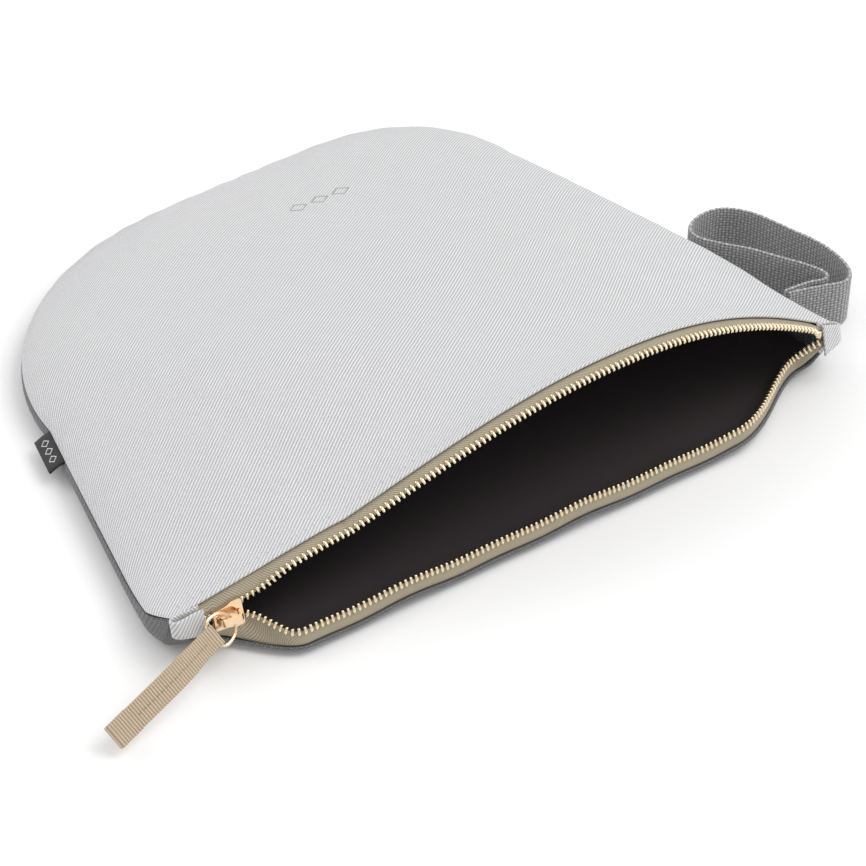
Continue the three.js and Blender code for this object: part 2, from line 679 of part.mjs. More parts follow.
function sideLabel() {
  const across = [0, 0.35, 0.7, 1];
  const from = MOUTH_Y + LABEL.fromMouth;
  const along = [from, from + LABEL.length];
  const layer = (up) => across.map((t) => along.map((y) => {
    const x = -halfWidth('left', y);
    const shift = bottomShift(x, (y - MOUTH_Y) / DEPTH);
    return V(x - GAP - LABEL.out * t, y + shift, SEAM_Z - 0.5 - LABEL.drop * t ** 1.5 + up);
  }));
  return slab(layer(LABEL.thick / 2), layer(-LABEL.thick / 2));
}

// ---- the bag ----

addPanel('front', frontSkin, -1, LOOKS.panel);
addPanel('back', backSkin, 1, LOOKS.back);

for (const side of ['front', 'back']) {
  add(`zip_tape_${side}`, tape(side), LOOKS.tape);
  add(`zip_teeth_${side}`, teeth(side), LOOKS.gold);
  add(`zip_top_stop_${side}`, stop(side, CHAIN_HALF + GAP), LOOKS.gold);
}
add('zip_bottom_stop', bottomStop(), LOOKS.gold);
addTab('end_tab_left', -1);
addTab('end_tab_right', 1);

const slider = new THREE.Group();
slider.position.copy(SLIDER_ORIGIN);
slider.rotation.x = Math.PI / 2 - CHAIN_TILT;
bag.add(slider);
add('slider_body', sliderBody(), LOOKS.gold, slider);
add('slider_crown', crown(), LOOKS.gold, slider).position.z = SLIDER_HALF_DEEP + GAP;

add('pull_ring', ring(), LOOKS.gold);
add('pull_ribbon', ribbon(), LOOKS.ribbon);
add('wrist_loop', wristLoop(), LOOKS.webbing);
add('side_label', sideLabel(), LOOKS.label);

export default bag;
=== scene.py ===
# A padded makeup bag, lying open on its back panel. The frame is in metres and the sizes in millimetres.
import math
import bmesh
import bpy
import numpy as np
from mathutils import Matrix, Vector


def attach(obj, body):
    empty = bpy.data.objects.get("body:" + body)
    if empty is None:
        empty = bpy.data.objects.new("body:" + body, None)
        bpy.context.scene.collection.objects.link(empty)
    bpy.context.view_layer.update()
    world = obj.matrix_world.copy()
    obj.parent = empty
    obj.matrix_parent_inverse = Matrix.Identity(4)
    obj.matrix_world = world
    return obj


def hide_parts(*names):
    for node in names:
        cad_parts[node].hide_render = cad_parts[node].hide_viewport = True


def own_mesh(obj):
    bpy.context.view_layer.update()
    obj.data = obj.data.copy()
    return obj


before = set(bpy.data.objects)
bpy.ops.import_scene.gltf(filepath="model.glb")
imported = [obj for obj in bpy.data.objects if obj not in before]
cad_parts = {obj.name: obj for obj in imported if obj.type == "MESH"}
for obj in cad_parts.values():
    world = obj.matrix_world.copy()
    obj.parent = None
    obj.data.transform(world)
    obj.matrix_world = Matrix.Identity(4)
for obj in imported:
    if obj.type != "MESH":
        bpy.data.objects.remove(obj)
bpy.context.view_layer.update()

# ------------------------------------------------------------------------------------------------
# The back panel: dark speckled canvas over wadding and a dark lining, three plies cut to one outline, a
# trapezium with two round bottom corners. It lies on the table, rolls up at the seams where it is sewn
# to the front, and its lip is pushed out of the wide mouth by what the bag held.
MM = 0.001
MOUTH_HALF = 139.5
BOTTOM_HALF = 99.5
DEPTH = 210.0
MOUTH_Y = -DEPTH / 2
BOTTOM_Y = DEPTH / 2
CORNER_LEFT = 93.0
CORNER_RIGHT = 61.0
BOTTOM_SKEW = 7.0
SEAM_Z = 9.0
MOUTH_SEAM_Z = 17.5
SEAM_RISE = 34.0
SEAM_GAP = 0.3
SHELL = 1.0
FOAM = 2.0
LINING = 0.6
PLY_GAP = 0.3
LINING_DEPTH = SHELL + FOAM + 2 * PLY_GAP


def smooth(x, low, high):
    t = np.clip((x - low) / (high - low), 0, 1)
    return t * t * (3 - 2 * t)


def mix(a, b, t):
    return a + (b - a) * t


def straight_half(y):
    return mix(MOUTH_HALF, BOTTOM_HALF, (y - MOUTH_Y) / DEPTH)


# The outline: half the panel's width at `y`, where `u` runs from -1 at the left seam to 1 at the right.
def half_width(u, y):
    radius = np.where(u < 0, CORNER_LEFT, CORNER_RIGHT)
    start = BOTTOM_Y - radius
    past = np.clip(y - start, 0, radius)
    bent = straight_half(start) - radius + np.sqrt(np.maximum(0, radius ** 2 - past ** 2))
    return np.where(y <= start, straight_half(y), bent)


# The seam lies level and rises to the mouth's corners.
def seam_z(y):
    return SEAM_Z + (MOUTH_SEAM_Z - SEAM_Z) * np.maximum(0, 1 - (y - MOUTH_Y) / SEAM_RISE) ** 2


# The panel lies a little askew towards its bottom.
def bottom_shift(x, v):
    return BOTTOM_SKEW * x * v ** 2 / BOTTOM_HALF


# How far inside the seam a point of the panel is.
def from_seam(u, y):
    radius = np.where(u < 0, CORNER_LEFT, CORNER_RIGHT)
    x = np.abs(u * half_width(u, y))
    corner_x = straight_half(BOTTOM_Y - radius) - radius
    corner_y = BOTTOM_Y - radius
    round_part = radius - np.hypot(x - corner_x, y - corner_y)
    straight_part = np.minimum(straight_half(y) - x, BOTTOM_Y - y)
    return np.maximum(0, np.where((y > corner_y) & (x > corner_x), round_part, straight_part))


# The left-hand end of the mouth is turned in a little.
CORNER_TURN = 5.4
CORNER_TURN_DEEP = 12.0


def turned_in(y):
    return CORNER_TURN * np.maximum(0, 1 - (y - MOUTH_Y) / CORNER_TURN_DEEP) ** 1.3


# Columns crowd towards the side seams, rows towards the mouth and the bottom seam.
def panel_grid(columns, rows):
    u = np.sin(np.linspace(-np.pi / 2, np.pi / 2, columns))
    straight = mix(MOUTH_Y, BOTTOM_Y - CORNER_LEFT, np.linspace(0, 1, int(rows * 0.6)) ** 1.25)
    angle = np.linspace(0, np.pi / 2, int(rows * 0.4) + 1)[1:]
    y = np.concatenate([straight, BOTTOM_Y - CORNER_LEFT + CORNER_LEFT * np.sin(angle)])
    return np.meshgrid(u, y)


# A grid of points moved `depth` towards the bag's inside; along the seams it is moved level, so that
# the two panels meet edge to edge.
def sunk(grid, depth, inward):
    across = np.gradient(grid, axis=1)
    along = np.gradient(grid, axis=0)
    normal = np.cross(across, along)
    normal /= np.maximum(1e-9, np.linalg.norm(normal, axis=2, keepdims=True))
    moved = grid + normal * inward * depth
    heart_y = np.minimum(grid[..., 1], BOTTOM_Y - CORNER_LEFT)
    level = np.stack([np.zeros_like(heart_y), heart_y, grid[..., 2]], 2) - grid
    level /= np.maximum(1e-9, np.linalg.norm(level, axis=2, keepdims=True))
    for edge in ((slice(None), 0), (slice(None), -1), (-1, slice(None))):
        moved[edge] = grid[edge] + level[edge] * depth
    return moved


def mesh_object(name, points, faces, uvs=None, smooth_shade=True):
    mesh = bpy.data.meshes.new(name)
    mesh.from_pydata([tuple(p) for p in np.asarray(points) * MM], [], [tuple(f) for f in faces])
    mesh.validate()
    if uvs is not None:
        layer = mesh.uv_layers.new(name="UVMap")
        corner = np.empty(len(mesh.loops), dtype=np.int32)
        mesh.loops.foreach_get("vertex_index", corner)
        layer.data.foreach_set("uv", (np.asarray(uvs)[corner] * MM).astype(np.float32).ravel())
    mesh.update()
    mesh.polygons.foreach_set("use_smooth", [smooth_shade] * len(mesh.polygons))
    piece = bpy.data.objects.new(name, mesh)
    bpy.context.scene.collection.objects.link(piece)
    return piece


# One ply as a closed body: its outer face, a rounded fold along the mouth and its inner face.
def ply_piece(name, outer, inner):
    rows, columns = outer.shape[:2]
    middle = (outer[0] + inner[0]) / 2
    half = (outer[0] - inner[0]) / 2
    forward = outer[0] - outer[1]
    forward /= np.linalg.norm(forward, axis=1, keepdims=True)
    thick = np.linalg.norm(half, axis=1, keepdims=True)
    turns = np.radians([36, 72, 108, 144])
    fold = [middle + half * math.cos(a) + forward * thick * math.sin(a) for a in turns]
    loop = np.concatenate([outer[::-1], np.array(fold), inner])
    step = np.linalg.norm(np.diff(loop, axis=0), axis=2)
    run_along = np.concatenate([np.zeros((1, columns)), np.cumsum(step, axis=0)])
    run_along = run_along[rows - 1:rows] - run_along
    side = np.linalg.norm(np.diff(loop, axis=1), axis=2)
    run_across = np.concatenate([np.zeros((len(loop), 1)), np.cumsum(side, axis=1)], axis=1)
    run_across -= run_across[:, columns // 2:columns // 2 + 1]
    uvs = np.stack([run_across, run_along], 2).reshape(-1, 2)
    count = len(loop)
    index = np.arange(count * columns).reshape(count, columns)
    cells = np.stack([index[:-1, :-1], index[:-1, 1:], index[1:, 1:], index[1:, :-1]], 2)
    faces = cells.reshape(-1, 4).tolist()
    for i in range(count // 2 - 1):
        a, b = index[i], index[i + 1]
        c, d = index[count - 2 - i], index[count - 1 - i]
        faces.append([a[0], b[0], c[0], d[0]])
        faces.append([d[-1], c[-1], b[-1], a[-1]])
    for j in range(columns - 1):
        faces.append([index[0, j + 1], index[0, j], index[-1, j], index[-1, j + 1]])
    return mesh_object(name, loop.reshape(-1, 3), faces, uvs)


def new_finish(name, roughness, sheen=0.0, sheen_roughness=0.5, metallic=0.0):
    finish = bpy.data.materials.new(name)
    finish.use_nodes = True
    shader = finish.node_tree.nodes["Principled BSDF"]
    shader.inputs["Roughness"].default_value = roughness
    shader.inputs["Sheen Weight"].default_value = sheen
    shader.inputs["Sheen Roughness"].default_value = sheen_roughness
    shader.inputs["Metallic"].default_value = metallic
    return finish, shader


def node(tree, kind, values=(), **settings):
    made = tree.nodes.new(kind)
    for key, value in settings.items():
        setattr(made, key, value)
    for socket, value in values:
        if isinstance(value, bpy.types.NodeSocket):
            tree.links.new(value, made.inputs[socket])
        else:
            made.inputs[socket].default_value = value
    return made


def maths(tree, operation, a, b=0.0, c=0.0):
    return node(tree, "ShaderNodeMath", [(0, a), (1, b), (2, c)], operation=operation).outputs[0]


def blend_colour(tree, factor, a, b):
    made = node(tree, "ShaderNodeMix", data_type="RGBA")
    for socket, value in ((0, factor), (6, a), (7, b)):
        if isinstance(value, bpy.types.NodeSocket):
            tree.links.new(value, made.inputs[socket])
        else:
            made.inputs[socket].default_value = value
    return made.outputs[2]


def noise(tree, place, scale, detail=2.0, output=0):
    values = [("Vector", place), ("Scale", scale), ("Detail", detail)]
    return node(tree, "ShaderNodeTexNoise", values).outputs[output]


def vectors(tree, operation, values):
    return node(tree, "ShaderNodeVectorMath", values, operation=operation).outputs[0]


# Warp and weft yarns of one pitch pass over each other. `float_over` is how many yarns each one floats
# across: 1 gives a plain weave and 2 a twill with its diagonal line. The yarns wander a little.
YARN_WANDER = 0.48


def weave(tree, pitch, float_over=1, turn=0.0, stretch=1.0):
    place = node(tree, "ShaderNodeUVMap", uv_map="UVMap").outputs[0]
    drift = vectors(tree, "SUBTRACT", [(0, noise(tree, place, 260.0, output=1)), (1, (0.5, 0.5, 0.5))])
    drift = vectors(tree, "SCALE", [(0, drift), ("Scale", pitch * MM * YARN_WANDER)])
    place = vectors(tree, "ADD", [(0, place), (1, drift)])
    size = 1 / (pitch * MM)
    place = node(tree, "ShaderNodeMapping", [("Vector", place), ("Rotation", (0, 0, turn)),
                                             ("Scale", (size, size * stretch, size))]).outputs[0]
    parts = node(tree, "ShaderNodeSeparateXYZ", [(0, place)])
    x, y = parts.outputs[0], parts.outputs[1]
    cell = maths(tree, "ADD", maths(tree, "FLOOR", x), maths(tree, "FLOOR", y))
    turns = maths(tree, "FLOORED_MODULO", cell, 2.0 * float_over)
    over = maths(tree, "LESS_THAN", turns, float_over - 0.5)
    warp = maths(tree, "SINE", maths(tree, "MULTIPLY", maths(tree, "FRACT", x), math.pi))
    weft = maths(tree, "SINE", maths(tree, "MULTIPLY", maths(tree, "FRACT", y), math.pi))
    height = node(tree, "ShaderNodeMix", [(0, over), (2, yarn_on_top(tree, weft, warp)),
                                          (3, yarn_on_top(tree, warp, weft))], data_type="FLOAT")
    return height.outputs[0], over, place


# The height of the cloth where one yarn lies over the other, which shows lower beside it.
YARN_BELOW = 0.45


def yarn_on_top(tree, upper, lower):
    beside = maths(tree, "MULTIPLY", lower, YARN_BELOW)
    crest = maths(tree, "MULTIPLY", upper, maths(tree, "ADD", 1 - YARN_BELOW, beside))
    return maths(tree, "MAXIMUM", crest, beside)


# A cloth's finish. Its colour runs from `dark` in the hollows of the weave to `light` on the yarns' crests,
# which is painted shade. `weft` shades the crossing yarns, `mottle` and `fleck` are its slow and fine changes
# of tone, and `rib` is the pitch of raised ribs across it, with `rib_shade` the painted shade between them.
def woven_finish(name, dark, light, pitch, float_over=1, turn=0.0, stretch=1.0, depth=0.25, mottle=0.08,
                 fleck=0.0, roughness=0.85, sheen=0.15, weft=1.0, rib=0.0, rib_shade=1.0):
    finish, shader = new_finish(name, roughness, sheen)
    tree = finish.node_tree
    height, over, place = weave(tree, pitch, float_over, turn, stretch)
    # Painted shade: the colour runs from `dark` in the hollows where a yarn dips to `light` on its crest.
    colour = blend_colour(tree, height, (*dark, 1), (*light, 1))
    yarn = maths(tree, "MULTIPLY_ADD", over, 1 - weft, weft)
    if rib:
        # Painted shade in the grooves between the ribs: the tone falls to `rib_shade` there.
        flat = node(tree, "ShaderNodeUVMap", uv_map="UVMap").outputs[0]
        along = node(tree, "ShaderNodeSeparateXYZ", [(0, flat)]).outputs[1]
        wave = maths(tree, "COSINE", maths(tree, "MULTIPLY", along, 2 * math.pi / (rib * MM)))
        crest = maths(tree, "POWER", maths(tree, "MULTIPLY_ADD", wave, 0.5, 0.5), 0.6)
        yarn = maths(tree, "MULTIPLY", yarn, maths(tree, "MULTIPLY_ADD", crest, 1 - rib_shade, rib_shade))
    slow = noise(tree, place, 0.035, 3.0)
    slub = noise(tree, place, 0.7, 1.0)
    tone = maths(tree, "MULTIPLY_ADD", maths(tree, "SUBTRACT", slow, 0.5), mottle * 2, 1.0)
    tone = maths(tree, "MULTIPLY_ADD", maths(tree, "SUBTRACT", slub, 0.5), mottle + fleck, tone)
    tone = maths(tree, "MULTIPLY", tone, yarn)
    scaled = vectors(tree, "SCALE", [(0, colour), ("Scale", tone)])
    tree.links.new(scaled, shader.inputs["Base Color"])
    relief = maths(tree, "MULTIPLY_ADD", noise(tree, place, 2.6), 0.3, height)
    bump = node(tree, "ShaderNodeBump", [("Height", relief), ("Distance", depth * MM), ("Strength", 0.9)])
    tree.links.new(bump.outputs[0], shader.inputs["Normal"])
    return finish


def dress(piece, finish):
    piece.data.materials.clear()
    piece.data.materials.append(finish)
    return piece


BACK_LIP_Z = 3.0
BACK_LIP_ROLL = 9.0
BACK_LIP_BOW = 22.0
BACK_BOW_FROM = 12.5
BACK_BOW_LEFT = 30.0
BACK_BOW_RIGHT = 50.0
BACK_SEAM_ROLL = 13.0
MOUTH_CORNER = 14.0
LIP_WAVE = 0.7
SIDE_BULGE = 1.7
SIDE_BULGE_WIDE = 8.0


def back_bow(x):
    reach = MOUTH_HALF - BACK_BOW_FROM
    left = smooth(x, -reach, -reach + BACK_BOW_LEFT)
    right = 1 - smooth(x, reach - BACK_BOW_RIGHT, reach)
    return np.minimum(left, right)


def back_skin(u, y):
    half = half_width(u, y)
    x = u * half
    v = (y - MOUTH_Y) / DEPTH
    inset = np.clip(from_seam(u, y) / BACK_SEAM_ROLL, 0, 1)
    edge = (seam_z(y) - SEAM_GAP / 2) * (1 - np.sqrt(1 - (1 - inset) ** 2)) ** 1.25
    climb = np.maximum(0, 1 - (half - np.abs(x)) / MOUTH_CORNER) ** 2
    lip_z = mix(BACK_LIP_Z, MOUTH_SEAM_Z - SEAM_GAP / 2, climb)
    lip_z = lip_z + LIP_WAVE * np.sin(x / 7.5) * np.sin(x / 23 + 1) * (1 - climb)
    lip = lip_z * np.maximum(0, 1 - (y - MOUTH_Y) / BACK_LIP_ROLL) ** 2
    out = BACK_LIP_BOW * back_bow(x) * (1 - v) ** 3
    ahead = bottom_shift(x, v) - out
    bulge = SIDE_BULGE * np.sin(np.pi * np.minimum(1, np.sqrt(from_seam(u, y) / SIDE_BULGE_WIDE)))
    x = x + np.sign(u) * bulge * smooth(np.abs(u), 0.3, 0.9)
    turn_share = 0.75 * np.abs(u) ** 10 + 0.25 * np.exp(-from_seam(u, y) / 1.6)
    x = x + np.where(u < 0, turned_in(y) * turn_share, 0)
    return np.stack([x, y + ahead, np.maximum(edge, lip)], -1)


def outer_grid(skin, columns, rows):
    return skin(*panel_grid(columns, rows))


def inner_grid(skin, mouth_inset, columns, rows):
    u, y = panel_grid(columns, rows)
    return skin(u * 0.972, mix(MOUTH_Y + mouth_inset, BOTTOM_Y - 12, (y - MOUTH_Y) / DEPTH))


# The part of a back ply that stands out of the mouth is a flap of its own. Both parts are cut along one
# plane and closed off there.
GATHER_AXIS = (0.0, 0.93, 0.3676)
GATHER_FROM = (0.0, -0.106, 0.003)


def gathers(piece):
    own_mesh(piece)


def cut_flap(piece):
    flap = bpy.data.objects.new(f"{piece.name}_flap", piece.data.copy())
    bpy.context.scene.collection.objects.link(flap)
    for part, keep_inner in ((piece, False), (flap, True)):
        solid = bmesh.new()
        solid.from_mesh(part.data)
        whole = solid.verts[:] + solid.edges[:] + solid.faces[:]
        cut = bmesh.ops.bisect_plane(solid, geom=whole, plane_co=GATHER_FROM, plane_no=GATHER_AXIS,
                                     clear_outer=keep_inner, clear_inner=not keep_inner)
        rim = [item for item in cut["geom_cut"] if isinstance(item, bmesh.types.BMEdge)]
        bmesh.ops.edgeloop_fill(solid, edges=rim)
        for edge in rim:
            edge.smooth = False
        solid.to_mesh(part.data)
        solid.free()
    return flap


def back_ply(name, outer, inner, finish, cad_node):
    piece = ply_piece(name, outer, inner)
    flap = cut_flap(piece)
    for part in (piece, flap):
        dress(part, finish)
        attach(part, "bag")
    gathers(flap)
    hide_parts(cad_node)


back_canvas = woven_finish("back_canvas", (0.03, 0.03, 0.033), (0.3, 0.3, 0.31), 0.8, depth=0.3,
                           mottle=0.12, fleck=0.9, sheen=0.2, weft=0.6)
wadding = woven_finish("wadding", (0.55, 0.53, 0.48), (0.72, 0.7, 0.64), 1.5, depth=0.2, mottle=0.2)
lining_cloth = woven_finish("lining_cloth", (0.008, 0.006, 0.007), (0.032, 0.022, 0.024), 0.4, depth=0.05,
                            mottle=0.1, roughness=0.6, sheen=0.1)

grid = outer_grid(back_skin, 121, 90)
back_ply("back_panel", grid, sunk(grid, SHELL, 1), back_canvas, "back_shell")

grid = inner_grid(back_skin, 7, 71, 60)
back_ply("back_wadding", sunk(grid, SHELL + PLY_GAP, 1), sunk(grid, SHELL + PLY_GAP + FOAM, 1), wadding,
         "back_foam")

grid = inner_grid(back_skin, 3, 71, 60)
back_ply("back_lining", sunk(grid, LINING_DEPTH, 1), sunk(grid, LINING_DEPTH + LINING, 1), lining_cloth,
         "back_lining")

# ------------------------------------------------------------------------------------------------
# The front panel: pale grey canvas over wadding and lining, still domed by what the bag held. Its lip
# is turned under over the zip tape and topstitched.
DOME = 32.5
DOME_SLOPE = 0.3
WALL_POWER = (2.7, 6.6)
WALL_ROOT = (0.66, 0.49)
END_WALL = (4.5, 0.6)
LIP_PEAK = 53.0
LIP_PEAK_X = 37.0
LIP_REACH = 4.0
LIP_SWELL = 0.09
LIP_SWELL_FROM = 0.62
MOUTH_BLEND = 0.5
CORNER_BLEND = 0.2
PUCKER = 0.35


# The lip's height along the mouth, as a share of its peak: a long slope to the left, with a small swell
# low on it, and a rounder fall to the right.
def lip_rise(x):
    left = np.clip((LIP_PEAK_X - x) / (LIP_PEAK_X + MOUTH_HALF), 0, 1)
    low_part = np.clip((left - LIP_SWELL_FROM) / (1 - LIP_SWELL_FROM), 0, 1)
    swell = LIP_SWELL * np.maximum(0, np.sin(np.pi * low_part)) ** 0.6
    slope = (1 + np.cos(np.pi * left ** 1.05)) / 2 + swell
    right = np.clip((x - LIP_PEAK_X) / (MOUTH_HALF - LIP_PEAK_X), 0, 1)
    return np.where(x < LIP_PEAK_X, slope, (1 - right ** 2.2) ** 1.15)


def front_skin(u, y):
    x = u * half_width(u, y)
    v = np.clip((y - MOUTH_Y) / DEPTH, 0, 1)
    across = np.maximum(0, 1 - np.abs(u) ** np.where(u < 0, *WALL_POWER)) ** np.where(u < 0, *WALL_ROOT)
    along = np.maximum(0, 1 - v ** END_WALL[0]) ** END_WALL[1]
    dome = DOME * across * along * (1 - DOME_SLOPE * v)
    arch = (LIP_PEAK - MOUTH_SEAM_Z) * lip_rise(x)
    blend = mix(MOUTH_BLEND, CORNER_BLEND, np.maximum(0, u) ** 4)
    near_mouth = np.maximum(0, 1 - v / blend) ** 2
    z = seam_z(y) + SEAM_GAP / 2 + mix(dome, arch, near_mouth)
    inset = from_seam(u, y)
    soft = smooth(inset, 2, 26) * smooth(y, MOUTH_Y, MOUTH_Y + 30)
    ripple = (0.55 * np.sin(x / 31 + 0.4) * np.sin(y / 27 + 1.1) + 0.35 * np.sin((x + y) / 17)
              + 0.3 * np.sin((x - 0.7 * y) / 23 + 2))
    z = z + ripple * soft
    pucker = np.exp(-inset / 5.0) * smooth(inset, 0, 1.5)
    run = np.arctan2(y, x) * 120
    z = z + PUCKER * pucker * np.sin(run / 2.6 + np.sin(run / 9))
    ahead = bottom_shift(x, v) - LIP_REACH * lip_rise(x) * (1 - v) ** 3
    x = x + np.where(u < 0, turned_in(y) * np.abs(u) ** 14, 0)
    return np.stack([x, y + ahead, z], -1)


# Each front piece gets a mesh of its own.
def closes_front(piece):
    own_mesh(piece)


def front_ply(name, outer, inner, finish, cad_node):
    piece = dress(ply_piece(name, outer, inner), finish)
    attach(piece, "bag")
    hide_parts(cad_node)
    closes_front(piece)


front_canvas = woven_finish("front_canvas", (0.62, 0.62, 0.635), (0.97, 0.97, 0.985), 0.44, float_over=2,
                            turn=math.pi / 2, stretch=1.32, depth=0.16, mottle=0.03, fleck=0.05, weft=0.58)

grid = outer_grid(front_skin, 131, 110)
front_ply("front_panel", grid, sunk(grid, SHELL, -1), front_canvas, "front_shell")

grid = inner_grid(front_skin, 7, 71, 60)
front_ply("front_wadding", sunk(grid, SHELL + PLY_GAP, -1), sunk(grid, SHELL + PLY_GAP + FOAM, -1), wadding,
          "front_foam")

grid = inner_grid(front_skin, 3, 71, 60)
front_ply("front_lining", sunk(grid, LINING_DEPTH, -1), sunk(grid, LINING_DEPTH + LINING, -1), lining_cloth,
          "front_lining")


# The faces of a closed body made of rings of points, one after another from `base` on.
def ring_faces(base, rings, sides):
    faces = []
    for r in range(rings - 1):
        near, far = base + r * sides, base + (r + 1) * sides
        for a in range(sides):
            b = (a + 1) % sides
            faces.append([near + a, near + b, far + b, far + a])
    faces.append([base + a for a in range(sides)][::-1])
    faces.append([base + (rings - 1) * sides + a for a in range(sides)])
    return faces


def run_of(path):
    return np.concatenate([[0], np.cumsum(np.linalg.norm(np.diff(path, axis=0), axis=1))])


# A run of stitches: short rounded threads that dip into the cloth between needle holes.
def stitch_run(name, line, lift, length=2.3, gap=0.7, radius=0.17):
    line = np.asarray(line, dtype=float)
    lift = np.asarray(lift, dtype=float)
    run = run_of(line)
    points = []
    faces = []
    start = gap
    sides = 6
    while start + length < run[-1]:
        centres = []
        for t in np.linspace(0, 1, 6):
            s = start + t * length
            spot = np.array([np.interp(s, run, line[:, k]) for k in range(3)])
            up = np.array([np.interp(s, run, lift[:, k]) for k in range(3)])
            arch = math.sin(math.pi * t)
            centre = spot + up * (radius * (1.5 * arch - 0.9))
            centres.append((centre, up, radius * (0.45 + 0.55 * arch ** 0.5)))
        along = centres[-1][0] - centres[0][0]
        along /= np.linalg.norm(along)
        base = len(points)
        for centre, up, r in centres:
            side = np.cross(along, up)
            side /= np.linalg.norm(side)
            for a in range(sides):
                turn = 2 * math.pi * a / sides
                points.append(centre + side * r * math.cos(turn) + np.cross(side, along) * r * math.sin(turn))
        faces += ring_faces(base, len(centres), sides)
        start += length + gap
    return mesh_object(name, points, faces)


def thread_finish(name, colour):
    finish, shader = new_finish(name, 0.6, 0.2)
    tree = finish.node_tree
    place = node(tree, "ShaderNodeTexCoord").outputs["Object"]
    twist = noise(tree, place, 2500.0)
    tone = blend_colour(tree, twist, (*[c * 0.7 for c in colour], 1), (*colour, 1))
    tree.links.new(tone, shader.inputs["Base Color"])
    return finish


pale_thread = thread_finish("pale_thread", (0.72, 0.72, 0.73))
x_run = np.linspace(-134, 134, 500)
y_run = np.full_like(x_run, MOUTH_Y + 3.4)
line = front_skin(x_run / half_width(x_run, y_run), y_run)
lip_stitches = stitch_run("lip_stitches", line, np.tile([0.0, -0.25, 0.97], (len(line), 1)))
dress(lip_stitches, pale_thread)
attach(lip_stitches, "bag")
closes_front(lip_stitches)

# ------------------------------------------------------------------------------------------------
# The zip: two woven tapes with a corded edge, each gripped by a row of metal teeth, and metal stops at
# the ends. Each tape is sewn in under its panel's lip and hangs free where the mouth is open.
CHAIN_TILT = math.radians(14)
UP_CHAIN = np.array([0, math.sin(CHAIN_TILT), math.cos(CHAIN_TILT)])
OUT_CHAIN = np.array([0, -math.cos(CHAIN_TILT), math.sin(CHAIN_TILT)])
CHAIN_HALF = MOUTH_HALF - 11
TAB_X = CHAIN_HALF + 2
CHAIN_LEFT = (4.4, 14.4)
CHAIN_RIGHT = (4.8, 19.5)
CHAIN_LIFT = 1.4
CHAIN_LIFT_FROM = 123
CHAIN_LIFT_TO = 130
MESHED_HALF = 1.4
SPREAD_HALF = 2.6
SLIDER_X = 22 - MOUTH_HALF
SLIDER_HALF = 5.2
TOOTH_PITCH = 2.0
TAPE = 0.5
FRONT_HANG = (5.4, math.radians(24))
BACK_STAND = (6.2, 2.0)


def unit(a):
    return a / np.maximum(1e-9, np.linalg.norm(a, axis=-1, keepdims=True))


def column(a):
    return np.asarray(a)[..., None]


# The line that the two rows share when they are closed. Its left-hand end is lifted clear of the seam.
def chain_at(x):
    t = (x / TAB_X + 1) / 2
    ahead = mix(CHAIN_LEFT[0], CHAIN_RIGHT[0], t)
    line = np.stack([x, MOUTH_Y - ahead, mix(CHAIN_LEFT[1], CHAIN_RIGHT[1], t)], -1)
    return line + column(CHAIN_LIFT * smooth(-x, CHAIN_LIFT_FROM, CHAIN_LIFT_TO)) * UP_CHAIN


# A row of the zip belongs to the panel whose lip it is sewn to.
def skin_of(side):
    return front_skin if side == "front" else back_skin


# 0 where a row is held on the chain's line, by the slider or the end stop, and 1 where it hangs free.
def freedom(side, x):
    exit_x = SLIDER_X + SLIDER_HALF
    stop_x = CHAIN_HALF - 0.5
    release, closing = (20, 6) if side == "front" else (11, 8)
    return np.minimum(smooth(x, exit_x, exit_x + release), 1 - smooth(x, stop_x - closing, stop_x))


# A place on a panel's lip, `inside` the mouth's edge and `depth` under the shell's outer face.
def lip_place(side, x, inside, depth):
    skin = skin_of(side)
    y = np.full_like(x, MOUTH_Y + inside)
    u = np.clip(x / half_width(x, y), -0.995, 0.995)
    here = skin(u, y)
    across = skin(u + 0.002, y) - skin(u - 0.002, y)
    along = skin(u, y + 0.3) - skin(u, y)
    inward = -1 if side == "front" else 1
    return here + unit(np.cross(across, along)) * inward * depth


# The middle of a row's teeth: on the chain's line where the row is held, and hanging from the lip elsewhere.
def row_centre(side, x):
    sign = 1 if side == "front" else -1
    opening = smooth(x, SLIDER_X - 3, SLIDER_X + SLIDER_HALF - 0.2)
    closing = smooth(x, CHAIN_HALF - 10, CHAIN_HALF - 2)
    half = mix(MESHED_HALF, SPREAD_HALF, opening * (1 - closing))
    held = chain_at(x) + column(half) * UP_CHAIN * sign
    lip = skin_of(side)(x / MOUTH_HALF, np.full_like(x, MOUTH_Y))
    if side == "front":
        length, droop = FRONT_HANG
        free = lip + np.array([0, -length * math.cos(droop), -length * math.sin(droop)])
    else:
        rise, lean = BACK_STAND
        free = lip + np.array([0, lean, rise])
    return mix(held, free, column(freedom(side, x)))


# The row's place, its direction, the way its teeth point and the way they face.
def row_frame(side, x):
    sign = 1 if side == "front" else -1
    centre = row_centre(side, x)
    along = unit(row_centre(side, x + 0.2) - row_centre(side, x - 0.2))
    lip = lip_place(side, x, 0, SHELL + PLY_GAP)
    away = unit(centre - lip)
    tips = mix(-sign * UP_CHAIN, away, column(freedom(side, x)))
    tips = unit(tips - along * np.sum(tips * along, axis=-1, keepdims=True))
    return centre, along, tips, np.cross(along, tips) * -sign


# Places along a row, one tooth's pitch apart as measured along it.
def spaced(side, start, end, step):
    x = np.arange(start, end, 0.05)
    run = run_of(row_centre(side, x))
    return np.interp(np.arange(0, run[-1], step), run, x)


